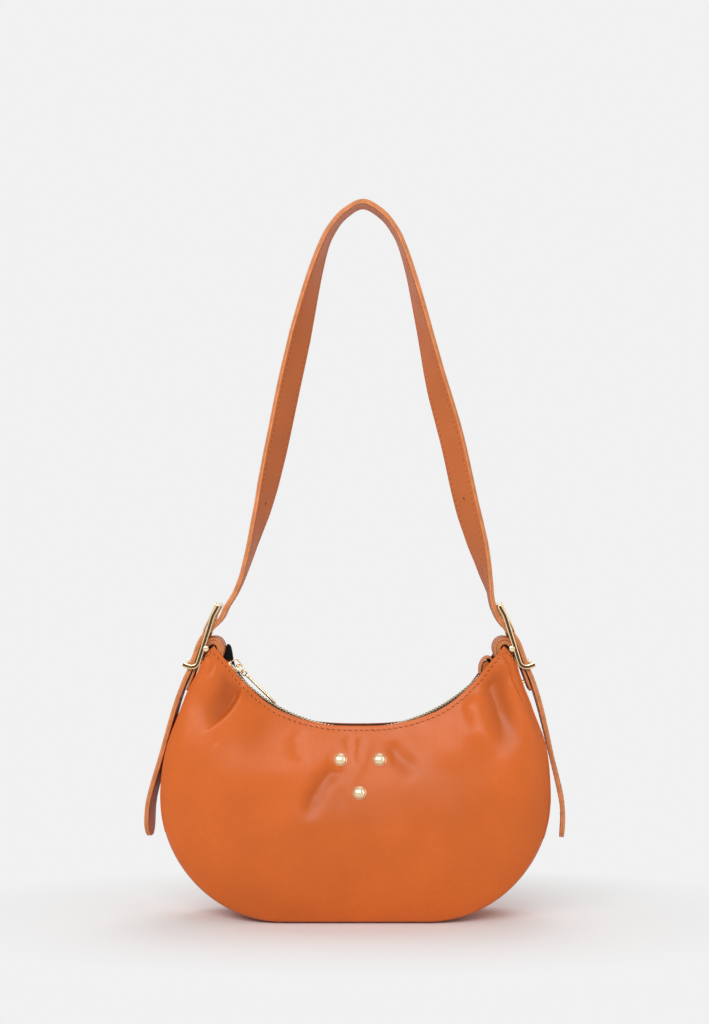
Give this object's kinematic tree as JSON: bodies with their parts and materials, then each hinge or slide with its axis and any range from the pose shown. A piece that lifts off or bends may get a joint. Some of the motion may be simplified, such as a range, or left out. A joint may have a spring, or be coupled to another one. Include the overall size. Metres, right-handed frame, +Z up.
{
  "type": "shoulder bag",
  "caption": "Crescent shoulder bag with a curved zip, buckled two-layer leather strap, hanging strap tails and domed studs.",
  "frame": {"origin": "centre of the whole object's box, on the surface that the base rests on", "axes": "+X across the bag to the wearer's left as seen from the front, +Y from the front panel to the back, +Z up to the top of the strap"},
  "size_m": [0.3129, 0.0728, 0.524],
  "materials": {
    "body_leather": "smooth semi-gloss orange-tan leather",
    "strap_leather": "smooth tan strap leather with painted edges",
    "lining_fabric": "black woven lining",
    "zip_tape": "black woven zip tape",
    "gold_metal": "polished pale gold plating"
  },
  "bodies": {
    "bag": {"front_panel": "body_leather", "back_panel": "body_leather", "gusset": "body_leather", "lining_front": "lining_fabric", "lining_back": "lining_fabric", "lining_gusset": "lining_fabric", "inner_pocket": "lining_fabric", "zip_tape_front": "zip_tape", "zip_tape_back": "zip_tape", "zip_teeth_front": "gold_metal", "zip_teeth_back": "gold_metal", "zip_stops": "gold_metal", "zip_end_tab": "strap_leather", "stud_caps": "gold_metal", "stud_backs": "gold_metal", "left_chape": "strap_leather", "right_chape": "strap_leather", "left_chape_rivet": "gold_metal", "right_chape_rivet": "gold_metal", "left_buckle_frame": "gold_metal", "right_buckle_frame": "gold_metal", "left_strap_end": "strap_leather", "right_strap_end": "strap_leather", "left_strap_bend": "strap_leather", "right_strap_bend": "strap_leather"},
    "strap": {"strap_outer_layer": "strap_leather", "strap_inner_layer": "strap_leather"},
    "zip_slider": {"zip_slider": "gold_metal"},
    "pull_ring": {"pull_ring": "gold_metal"},
    "pull_bar": {"pull_bar": "gold_metal"},
    "left_prong": {"left_buckle_prong": "gold_metal"},
    "right_prong": {"right_buckle_prong": "gold_metal"},
    "left_tail": {"left_strap_tail": "strap_leather"},
    "right_tail": {"right_strap_tail": "strap_leather"}
  },
  "joints": [
    {"name": "strap_fall", "type": "hinge", "parent": "bag", "child": "strap", "pos_m": [0.004, 0, 0.23115], "axis": [1, 0, 0], "range_deg": [-100, 100], "deforming": ["left_strap_bend", "right_strap_bend"]},
    {"name": "zip_slide", "type": "hinge", "parent": "bag", "child": "zip_slider", "pos_m": [0.0025, 0, 0.25797], "axis": [0, -1, 0], "range_deg": [0, 78]},
    {"name": "ring_swing", "type": "hinge", "parent": "zip_slider", "child": "pull_ring", "pos_m": [-0.08668, 0, 0.1838], "axis": [-0.4458, -0.8192, -0.361], "range_deg": [0, 60]},
    {"name": "bar_swing", "type": "hinge", "parent": "pull_ring", "child": "pull_bar", "pos_m": [-0.0824, 0, 0.17852], "axis": [-0.4458, -0.8192, -0.361], "range_deg": [0, 60]},
    {"name": "left_prong_lift", "type": "hinge", "parent": "bag", "child": "left_prong", "pos_m": [-0.10851, 0, 0.1968], "axis": [0, -1, 0], "range_deg": [0, 12]},
    {"name": "right_prong_lift", "type": "hinge", "parent": "bag", "child": "right_prong", "pos_m": [0.11351, 0, 0.1968], "axis": [0, 1, 0], "range_deg": [0, 12]},
    {"name": "left_tail_lift", "type": "hinge", "parent": "bag", "child": "left_tail", "pos_m": [-0.12128, 0, 0.17984], "axis": [0, 1, 0], "range_deg": [0, 70]},
    {"name": "right_tail_lift", "type": "hinge", "parent": "bag", "child": "right_tail", "pos_m": [0.12628, 0, 0.17984], "axis": [0, -1, 0], "range_deg": [0, 70]}
  ]
}
